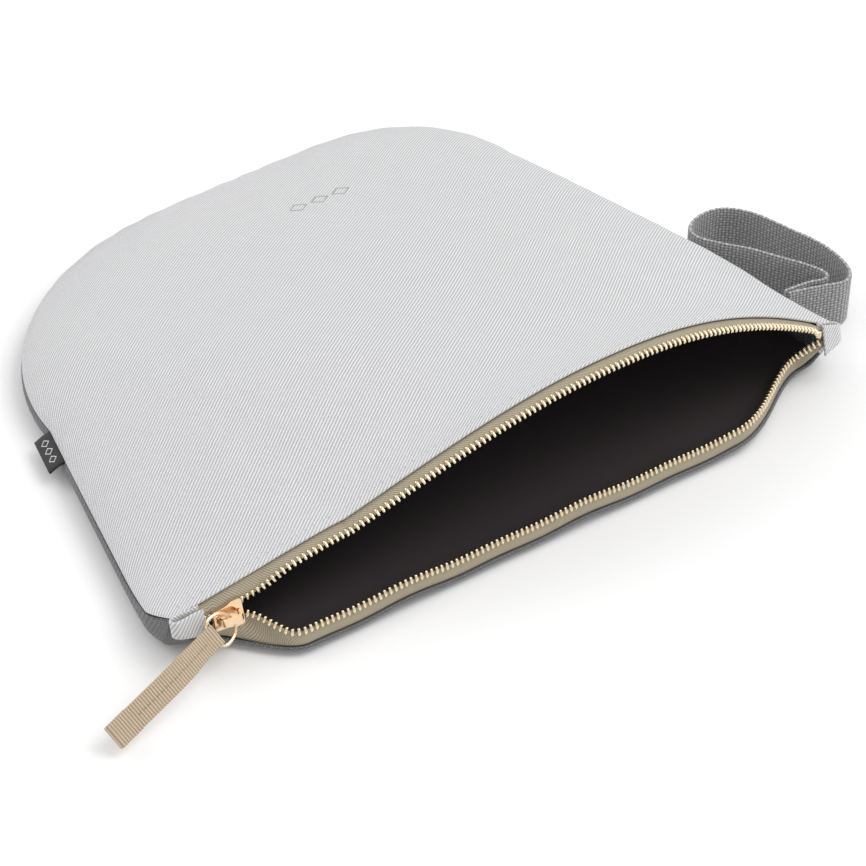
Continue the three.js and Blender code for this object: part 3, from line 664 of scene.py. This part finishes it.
# A band of cloth swept along a path, with rounded edges: `across` is the direction of its width.
def band(name, path, across, width, thick, edge=5):
    path = np.asarray(path, dtype=float)
    across = unit(np.broadcast_to(np.asarray(across, dtype=float), path.shape))
    along = unit(np.gradient(path, axis=0))
    face = unit(np.cross(along, across))
    width = np.broadcast_to(width, len(path))
    thick = np.broadcast_to(thick, len(path))
    section = []
    for s in (1, -1):
        for a in np.linspace(-90, 90, edge):
            section.append((s, math.cos(math.radians(a)), s * math.sin(math.radians(a))))
        for t in (0.75, 0.5, 0.25, 0, -0.25, -0.5, -0.75):
            section.append((s * t, 0.0, s * 1.0))
    rings = []
    uvs = []
    run = run_of(path)
    for s, bulge, h in section:
        offset = s * (width - thick) / 2 + np.sign(s) * bulge * thick / 2
        rings.append(path + across * column(offset) + face * column(h * thick / 2))
        uvs.append(np.stack([offset, run], -1))
    rings = np.stack(rings, 1)
    uvs = np.stack(uvs, 1).reshape(-1, 2)
    return mesh_object(name, rings.reshape(-1, 3), ring_faces(0, *rings.shape[:2]), uvs)


# A point between `b` and `c` of the smooth curve through a, b, c and d.
def between(a, b, c, d, t):
    bend = (2 * a - 5 * b + 4 * c - d) * t ** 2 + (3 * b - a - 3 * c + d) * t ** 3
    return 0.5 * (2 * b + (c - a) * t + bend)


# A smooth path through given points, with its own points evenly spaced.
def through(points, count):
    points = np.asarray(points, dtype=float)
    padded = np.concatenate([2 * points[:1] - points[1:2], points, 2 * points[-1:] - points[-2:-1]])
    dense = []
    for i in range(1, len(padded) - 2):
        a, b, c, d = padded[i - 1:i + 3]
        dense += [between(a, b, c, d, t) for t in np.linspace(0, 1, 40, endpoint=False)]
    dense.append(padded[-2])
    dense = np.array(dense)
    run = run_of(dense)
    at = np.linspace(0, run[-1], count)
    return np.stack([np.interp(at, run, dense[:, k]) for k in range(dense.shape[1])], -1)


def through_at(controls, t):
    place = t * (len(controls) - 1)
    i = min(int(place), len(controls) - 2)
    b, c = controls[i], controls[i + 1]
    a = controls[i - 1] if i > 0 else 2 * b - c
    d = controls[i + 2] if i + 2 < len(controls) else 2 * c - b
    return between(a, b, c, d, place - i)


# A tape runs from under its panel's lip to the corded edge that the teeth grip. In the end tabs it is flat.
TAPE_CORD = 1.24


def tape_piece(side):
    sign = 1 if side == "front" else -1
    x = np.linspace(-CHAIN_HALF - 3.4, CHAIN_HALF + 3.4, 420)
    centre, along, tips, face = row_frame(side, x)
    in_tab = column(smooth(np.abs(x), CHAIN_HALF - 3.5, CHAIN_HALF))
    inside = mix(5.0, 1.4, smooth(np.abs(x), CHAIN_HALF - 8, CHAIN_HALF - 4))

    def flat(r):
        return chain_at(x) + UP_CHAIN * sign * r

    controls = [mix(lip_place(side, x, inside, SHELL + 0.65), flat(4.0), in_tab),
                mix(lip_place(side, x, 0.6, SHELL + 0.6), flat(3.6), in_tab),
                centre - tips * mix(2.6, 1.8, in_tab), centre - tips * 0.9, centre - tips * 0.1]
    spans = np.linspace(0, 1, 15)
    sheet = np.stack([through_at(controls, t) for t in spans], 1)
    across = unit(np.gradient(sheet, axis=1))
    normal = unit(np.cross(np.gradient(sheet, axis=0), across))
    half = np.where(spans > 0.9, TAPE_CORD / 2, TAPE / 2)[None, :, None]
    top = sheet + normal * half
    low = sheet - normal * half
    ring = np.concatenate([top, low[:, ::-1]], 1)
    run = np.cumsum(np.linalg.norm(np.diff(centre, axis=0, prepend=centre[:1]), axis=1))
    wide = np.cumsum(np.linalg.norm(np.diff(sheet, axis=1, prepend=sheet[:, :1]), axis=2), axis=1)
    uv_top = np.stack([np.broadcast_to(run[:, None], wide.shape), wide], 2)
    uvs = np.concatenate([uv_top, uv_top[:, ::-1]], 1).reshape(-1, 2)
    return mesh_object(f"zip_tape_{side}_woven", ring.reshape(-1, 3), ring_faces(0, *ring.shape[:2]), uvs)


# Plated metal: patches a little duller than the rest, and fine scratches.
def metal_finish(name, colour, roughness, tarnish):
    finish, shader = new_finish(name, roughness, metallic=1.0)
    tree = finish.node_tree
    place = node(tree, "ShaderNodeTexCoord").outputs["Object"]
    patch = noise(tree, place, 420.0, 3.0)
    tone = blend_colour(tree, patch, (*colour, 1), (*[c * tarnish for c in colour], 1))
    tree.links.new(tone, shader.inputs["Base Color"])
    scratch = noise(tree, place, 1400.0, 4.0)
    bump = node(tree, "ShaderNodeBump", [("Height", scratch), ("Distance", 0.02 * MM), ("Strength", 0.25)])
    tree.links.new(bump.outputs[0], shader.inputs["Normal"])
    worn = node(tree, "ShaderNodeMapRange", [(0, patch), (3, roughness * 0.7), (4, roughness * 1.5)])
    tree.links.new(worn.outputs[0], shader.inputs["Roughness"])
    return finish


# A point of a rounded square, as shares of its half sides.
def on_rounded_square(turn, power):
    c, s = math.cos(turn), math.sin(turn)
    return math.copysign(abs(c) ** power, c), math.copysign(abs(s) ** power, s)


# Each tooth: a jaw that grips the cord, a waist, and a rounded head with a pip.
TOOTH_RINGS = ((-1.25, 0.34, 0.72), (-1.1, 0.56, 1.08), (-0.3, 0.62, 1.2), (0.35, 0.56, 1.08),
               (0.8, 0.46, 0.84), (1.15, 0.52, 0.74), (1.4, 0.3, 0.42))
TOOTH_SIDES = 8


def tooth_row(side):
    points = []
    faces = []
    places = spaced(side, -CHAIN_HALF + (0.5 if side == "back" else 1.5), CHAIN_HALF, TOOTH_PITCH)
    centre, along, tips, face = row_frame(side, places)
    for i in range(len(places)):
        base = len(points)
        for reach, half_along, half_deep in TOOTH_RINGS:
            for a in range(TOOTH_SIDES):
                p, q = on_rounded_square(2 * math.pi * (a + 0.5) / TOOTH_SIDES, 0.55)
                points.append(centre[i] + tips[i] * reach + along[i] * (p * half_along)
                              + face[i] * (q * half_deep))
        faces += ring_faces(base, len(TOOTH_RINGS), TOOTH_SIDES)
    return mesh_object(f"zip_teeth_{side}_row", points, faces)


# A stop: a small pinched clip of metal. Each ring is its place along the clip and its share of the size.
CLIP_RINGS = ((-1.0, 0.72), (-0.9, 0.92), (-0.55, 1.0), (0, 0.93), (0.55, 1.0), (0.9, 0.92), (1.0, 0.72))
CLIP_SIDES = 16


def clip_piece(name, middle, along, high, deep, half_long, half_high, half_deep):
    points = []
    for t, swell in CLIP_RINGS:
        for a in range(CLIP_SIDES):
            p, q = on_rounded_square(2 * math.pi * (a + 0.5) / CLIP_SIDES, 0.45)
            points.append(middle + along * (t * half_long) + high * (p * half_high * swell)
                          + deep * (q * half_deep * swell))
    return mesh_object(name, points, ring_faces(0, len(CLIP_RINGS), CLIP_SIDES))


tape_cloth = woven_finish("tape_cloth", (0.25, 0.2, 0.125), (0.66, 0.58, 0.42), 0.25, float_over=2,
                          turn=math.pi / 2, depth=0.08, mottle=0.06, fleck=0.12, roughness=0.8, weft=0.55)
pale_gold = metal_finish("pale_gold", (0.96, 0.83, 0.6), 0.2, 0.8)
rose_gold = metal_finish("rose_gold", (0.93, 0.69, 0.47), 0.16, 0.85)


STOP_HALF = 1.3
for side in ("front", "back"):
    tape = tape_piece(side)
    dress(tape, tape_cloth)
    row = tooth_row(side)
    dress(row, pale_gold)
    centre, along, tips, face = row_frame(side, np.array([CHAIN_HALF + 0.3 + STOP_HALF]))
    stop_place = centre[0] + tips[0] * 0.05
    clip = clip_piece(f"top_stop_{side}", stop_place, along[0], tips[0], face[0], STOP_HALF, 1.15, 1.0)
    dress(clip, rose_gold)
    for piece, cad_node in ((tape, f"zip_tape_{side}"), (row, f"zip_teeth_{side}"),
                            (clip, f"zip_top_stop_{side}")):
        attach(piece, "bag")
        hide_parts(cad_node)
    for piece in (tape, row):
        (closes_front if side == "front" else gathers)(piece)
middle = chain_at(np.array([-CHAIN_HALF - 0.3 - STOP_HALF]))[0]
along_chain = np.array([1.0, 0, 0])
bottom_stop = clip_piece("bottom_stop", middle, along_chain, UP_CHAIN, OUT_CHAIN, STOP_HALF, 2.5, 1.0)
dress(bottom_stop, rose_gold)
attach(bottom_stop, "bag")
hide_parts("zip_bottom_stop")

# ------------------------------------------------------------------------------------------------
# The end tabs: short strips of the front canvas, folded round the two ends of the tape and stitched
# through, so that the raw ends and the stops are covered.
TAB_PLY = 0.8
TAB_INNER = 1.3
TAB_SEAM = 1.5


def tab_swell(a):
    return 1 + 0.1 * math.sin(a * 0.6)


# `sign` is the end of the zip, `at` and `half` the tab's middle and half length, and `heights` and
# `lifts` its height and its lift up the chain, each at its inner and outer end.
def tab_piece(name, sign, at, half, heights, lifts):
    middle = chain_at(np.array([sign * at]))[0]
    r = TAB_INNER + TAB_PLY / 2
    flat_end = half - r - TAB_PLY / 2
    route = [(a, r) for a in np.linspace(-half, flat_end, 14)]
    route += [(flat_end + r * math.sin(t), r * math.cos(t)) for t in np.linspace(0, math.pi, 13)[1:-1]]
    route += [(a, -r) for a in np.linspace(flat_end, -half, 14)]
    path = [middle + np.array([sign, 0, 0]) * a + OUT_CHAIN * b * tab_swell(a)
            + UP_CHAIN * mix(*lifts, (a + half) / (2 * half)) for a, b in route]
    wide = np.array([mix(*heights, (a + half) / (2 * half)) for a, b in route])
    tab = band(name, path, UP_CHAIN * sign, wide, TAB_PLY)
    dress(tab, front_canvas)
    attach(tab, "bag")
    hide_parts(name.replace("_strip", ""))
    seam = TAB_SEAM - half
    start = middle + np.array([sign * seam, 0, 0]) + OUT_CHAIN * (r + TAB_PLY / 2) * tab_swell(seam)
    line = [start + UP_CHAIN * (lifts[0] + h * (heights[0] / 2 - 1)) for h in np.linspace(-1, 1, 40)]
    sewn = stitch_run(f"{name}_stitches", line, np.tile(OUT_CHAIN, (40, 1)), length=1.7, gap=0.6, radius=0.15)
    dress(sewn, pale_thread)
    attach(sewn, "bag")


tab_piece("end_tab_left_strip", -1, 131.0, 5.6, (10.0, 5.8), (-0.2, 1.4))
tab_piece("end_tab_right_strip", 1, 131.8, 4.2, (12.2, 6.0), (-0.9, -0.3))

# ------------------------------------------------------------------------------------------------
# The slider that runs on the chain, the crown cast on top of it, and the ring that swings under the
# crown are plated castings: the frame's own shapes, the slider's and crown's edges bevelled and the ring's
# mesh subdivided.
SOFT_EDGES = {"slider_body": 0.42, "slider_crown": 0.38}


def plated(name):
    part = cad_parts[name]
    part.data.materials.clear()
    part.data.materials.append(rose_gold)
    return part


for name, width in SOFT_EDGES.items():
    soften = plated(name).modifiers.new("soften", "BEVEL")
    soften.width = width * MM
    soften.segments = 4
    soften.limit_method = "ANGLE"
    soften.angle_limit = math.radians(35)
    soften.harden_normals = False
round_off = plated("pull_ring").modifiers.new("round_off", "SUBSURF")
round_off.subdivision_type = "SIMPLE"
round_off.levels = 2
round_off.render_levels = 2

# ------------------------------------------------------------------------------------------------
# The pull: 8 mm grosgrain ribbon folded through the ring, its two plies stitched together down the
# middle, and a short second fold of the same ribbon over the cut ends.
SLIDER_ORIGIN = np.array([-117.5, -109.4199, 14.654])
RING_PIVOT = np.array([-117.5, -113.3011, 15.6217])
PULL_TIP = SLIDER_ORIGIN + np.array([-51.8, -21.0, -7.7])
PULL_DIRECTION = unit(PULL_TIP - RING_PIVOT)
PULL_LENGTH = float(np.linalg.norm(PULL_TIP - RING_PIVOT))
BAR_DIRECTION = np.array([0.3244, -0.6197, -0.7147])
PULL_FACE = unit(np.cross(PULL_DIRECTION, BAR_DIRECTION))
RING_LENGTH = 8.6
RIBBON_WIDTH = 8.2
RIBBON_PLY = 0.62
RIB_PITCH = 1.0
RIB_HEIGHT = 0.14
RIBBON_SAG = 1.6
TIP_FOLD = 8.5
EYE = 1.225

bar = RING_PIVOT + PULL_DIRECTION * RING_LENGTH
tail = PULL_LENGTH - RING_LENGTH
face_up = PULL_FACE if PULL_FACE[2] > 0 else -PULL_FACE


# A point `a` along the pull from the ring's bar and `level` above its middle; the ribbon bows and waves.
def pull_place(a, level):
    sag = RIBBON_SAG * math.sin(math.pi * max(0, a) / tail)
    wave = 0.5 * math.sin(max(0, a - 4) / 7.5)
    return bar + PULL_DIRECTION * a + face_up * (level + sag + wave * smooth(a, 4, 14))


# A ribbon of raised ribs, drawn in where it passes through the ring.
def ribbed(name, route):
    path = through(np.array(route), int(run_of(np.array(route))[-1] * 7))
    rib = RIB_HEIGHT * np.cos(2 * np.pi * run_of(path) / RIB_PITCH)
    taper = mix(0.88, 1, smooth(np.linalg.norm(path - bar, axis=1), 2, 18))
    return band(name, path, BAR_DIRECTION, RIBBON_WIDTH * taper + rib, RIBBON_PLY + rib)


ribbon_cloth = woven_finish("ribbon_cloth", (0.44, 0.33, 0.22), (0.76, 0.6, 0.43), 0.34, depth=0.06,
                            mottle=0.08, fleck=0.2, roughness=0.75, sheen=0.25, rib=RIB_PITCH, rib_shade=0.42)
ply = RIBBON_PLY / 2 + 0.04
route = [pull_place(a, ply) for a in np.linspace(tail - 0.8, 3.2, 22)]
route += [pull_place(0, 0) + PULL_DIRECTION * EYE * math.cos(t) + face_up * EYE * math.sin(t)
          for t in np.radians([60, 100, 140, 180, 220, 260, 300])]
route += [pull_place(a, -ply) for a in np.linspace(3.2, tail - 0.8, 22)]
pull_ribbon = ribbed("pull_ribbon_plies", route)
wrap = ply * 2 + RIBBON_PLY / 2
route = [pull_place(a, wrap) for a in np.linspace(tail - TIP_FOLD, tail - 0.6, 6)]
route += [pull_place(tail - 0.6, 0) + PULL_DIRECTION * wrap * math.sin(t) * 0.9 + face_up * wrap * math.cos(t)
          for t in np.radians([30, 60, 90, 120, 150])]
route += [pull_place(a, -wrap) for a in np.linspace(tail - 0.6, tail - TIP_FOLD, 6)]
pull_tip = ribbed("pull_ribbon_fold", route)
brown_thread = thread_finish("brown_thread", (0.36, 0.27, 0.18))
line = [pull_place(a, ply * 2 + 0.02) for a in np.linspace(3.5, tail - TIP_FOLD - 0.6, 80)]
up = np.tile(face_up, (80, 1))
pull_stitches = stitch_run("pull_stitches", line, up, length=1.5, gap=0.45, radius=0.15)
dressed = ((pull_ribbon, ribbon_cloth), (pull_tip, ribbon_cloth), (pull_stitches, brown_thread))
for piece, finish in dressed:
    dress(piece, finish)
    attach(piece, "ribbon")
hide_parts("pull_ribbon")

# ------------------------------------------------------------------------------------------------
# The wrist loop: 20 mm woven webbing, folded to a loop and sewn into the side seam by its two ends.
# It stands on its edge beside the bag.
WEBBING_WIDTH = 19.6
WEBBING_THICK = 1.5
WEBBING_LOW = 0.35
LOOP_ROOT = np.array([136.319, -82.0])
LOOP_ROUTE = (
    (-0.8, -0.9), (4.8, -2.2), (12.8, -4.6), (21.4, -6.8), (27, -2.6), (29.6, 7), (29.4, 18),
    (26.4, 30), (21.8, 46), (14.4, 54.8), (4.8, 56.2), (-3.4, 52.4), (-5.4, 46),
    (-1.2, 38), (5.6, 29), (11.2, 18.6), (16.4, 9), (18.8, 1.6), (16.2, -1.6),
    (10.2, 0), (4.8, 0.6), (-0.8, 0.9))
webbing_cloth = woven_finish("webbing_cloth", (0.06, 0.06, 0.062), (0.52, 0.52, 0.525), 1.15, stretch=0.8,
                             depth=0.45, mottle=0.12, fleck=0.45, roughness=0.9, sheen=0.3, weft=0.8)
flat_route = through(np.array(LOOP_ROUTE) + LOOP_ROOT, 330)
path = np.concatenate([flat_route, np.full((len(flat_route), 1), WEBBING_LOW + WEBBING_WIDTH / 2)], 1)
notched_edge = 0.25 * np.cos(2 * np.pi * run_of(path) / 2.2)
wrist_loop = band("wrist_loop_webbing", path, (0, 0, 1), WEBBING_WIDTH + notched_edge, WEBBING_THICK)
dress(wrist_loop, webbing_cloth)
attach(wrist_loop, "loop")
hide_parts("wrist_loop")

# ------------------------------------------------------------------------------------------------
# The side label: a black woven strip, folded double and caught in the left side seam, with a plain row
# of lozenges woven into it in white.
LABEL_ROOT = np.array([-118.93, 0.775, SEAM_Z - 0.5])
LABEL_ALONG = unit(np.array([3.43, 17.31, 0.0]))
LABEL_OUT = np.array([-LABEL_ALONG[1], LABEL_ALONG[0], 0.0])
LABEL_LENGTH = 18.0
LABEL_REACH = 5.9
LABEL_PLY = 0.42
LABEL_DROP = 3.3
LABEL_MARK_STEP = 4.5
LABEL_MARK_OUT = 3.2


# A point `out` from the seam and `level` above the label's middle; the label droops as it goes out.
def label_place(out, level):
    drop = LABEL_DROP * (max(0, out) / LABEL_REACH) ** 1.5
    return LABEL_ROOT + LABEL_OUT * (out - 0.1) + np.array([0, 0, level - drop])


label_cloth = woven_finish("label_cloth", (0.003, 0.003, 0.004), (0.016, 0.016, 0.02), 0.35, float_over=2,
                           depth=0.05, mottle=0.1, roughness=0.6, sheen=0.1)
white_thread = thread_finish("white_thread", (0.82, 0.82, 0.8))
route = [label_place(a, 0.3) for a in np.linspace(-0.3, LABEL_REACH - 0.5, 12)]
fold_start = label_place(LABEL_REACH - 0.5, 0)
route += [fold_start + LABEL_OUT * LABEL_PLY * math.sin(t) + np.array([0, 0, 0.3 * math.cos(t)])
          for t in np.radians([45, 90, 135])]
route += [label_place(a, -0.3) for a in np.linspace(LABEL_REACH - 0.5, -0.3, 12)]
side_label = band("side_label_strip", route, LABEL_ALONG, LABEL_LENGTH, LABEL_PLY, edge=3)
dress(side_label, label_cloth)
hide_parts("side_label")


# Lozenges drawn as low raised lines on a surface: `place(a, b, lift)` gives a point of that surface.
def lozenges(name, place, centres, half_a, half_b, line_width, height):
    points = []
    faces = []
    steps = 6
    for ca, cb in centres:
        corners = [(half_a, 0), (0, half_b), (-half_a, 0), (0, -half_b)]
        loop = []
        for k in range(4):
            a0, b0 = corners[k]
            a1, b1 = corners[(k + 1) % 4]
            loop += [(mix(a0, a1, t), mix(b0, b1, t)) for t in np.linspace(0, 1, steps, endpoint=False)]
        base = len(points)
        shrink = line_width / min(half_a, half_b)
        for a, b in loop:
            for inset, lift in ((0, -0.05), (0.2, height), (0.8, height), (1, -0.05)):
                k = 1 - shrink * inset
                points.append(place(ca + a * k, cb + b * k, lift))
        count = len(loop)
        for i in range(count):
            j = (i + 1) % count
            for r in range(4):
                q = (r + 1) % 4
                faces.append([base + i * 4 + r, base + i * 4 + q, base + j * 4 + q, base + j * 4 + r])
    return mesh_object(name, points, faces)


def on_label(a, b, lift):
    return label_place(b, 0.52 + lift) + LABEL_ALONG * a


label_centres = [(-LABEL_MARK_STEP, LABEL_MARK_OUT), (0, LABEL_MARK_OUT), (LABEL_MARK_STEP, LABEL_MARK_OUT)]
label_mark = lozenges("label_lozenges", on_label, label_centres, 1.9, 1.5, 0.45, 0.06)
dress(label_mark, white_thread)
for piece in (side_label, label_mark):
    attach(piece, "label")

# Three plain lozenges stand up slightly from the front panel near its bottom seam.
MARK_AT = (19.6, 49.8)
MARK_STEP = 9.5


def on_front(a, b, lift):
    y = np.array([MARK_AT[1] + b])
    x = np.array([MARK_AT[0] + a])
    return front_skin(x / half_width(x, y), y)[0] + np.array([0, 0, lift])


front_centres = [(-MARK_STEP, 0), (0, 0), (MARK_STEP, 0)]
front_mark = lozenges("front_lozenges", on_front, front_centres, 4.2, 3.4, 0.9, 0.12)
dress(front_mark, front_canvas)
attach(front_mark, "bag")
closes_front(front_mark)

# ------------------------------------------------------------------------------------------------
# A plain pale floor, soft light from all round with two large lamps, and the camera.
floor_mesh = bpy.data.meshes.new("floor")
floor_mesh.from_pydata([(-4, -4, 0), (4, -4, 0), (4, 4, 0), (-4, 4, 0)], [], [(0, 1, 2, 3)])
floor = bpy.data.objects.new("floor", floor_mesh)
bpy.context.scene.collection.objects.link(floor)
floor_finish, floor_shader = new_finish("floor_paper", 0.9)
floor_shader.inputs["Base Color"].default_value = (0.93, 0.93, 0.93, 1)
floor.data.materials.append(floor_finish)

world = bpy.data.worlds.new("soft_room")
bpy.context.scene.world = world
world.use_nodes = True
world.node_tree.nodes["Background"].inputs["Color"].default_value = (1, 1, 1, 1)
world.node_tree.nodes["Background"].inputs["Strength"].default_value = 0.8


def lamp(name, place, target, size, power):
    light = bpy.data.lights.new(name, "AREA")
    light.energy = power
    light.size = size
    made = bpy.data.objects.new(name, light)
    bpy.context.scene.collection.objects.link(made)
    made.location = place
    made.rotation_euler = (Vector(target) - Vector(place)).to_track_quat("-Z", "Y").to_euler()


lamp("key_lamp", (0.5, -0.5, 1.1), (0, 0, 0), 0.8, 6.6)
lamp("back_lamp", (-0.7, 0.9, 0.9), (0, 0, 0), 0.9, 4.0)

CAMERA_TURN = math.radians(-34.4)
CAMERA_RISE = math.radians(38.9)
CAMERA_AWAY = 0.8779
CAMERA_TARGET = Vector((-0.0165, -0.0772, 0.02))
lens = bpy.data.cameras.new("camera")
lens.sensor_width = 36
lens.lens = 108.1
lens.clip_start = 0.01
camera = bpy.data.objects.new("camera", lens)
bpy.context.scene.collection.objects.link(camera)
level = math.cos(CAMERA_RISE)
back = Vector((math.sin(CAMERA_TURN) * level, -math.cos(CAMERA_TURN) * level, math.sin(CAMERA_RISE)))
camera.location = CAMERA_TARGET + back * CAMERA_AWAY
camera.rotation_euler = back.to_track_quat("Z", "Y").to_euler()
bpy.context.scene.camera = camera
bpy.context.scene.view_settings.view_transform = "Standard"
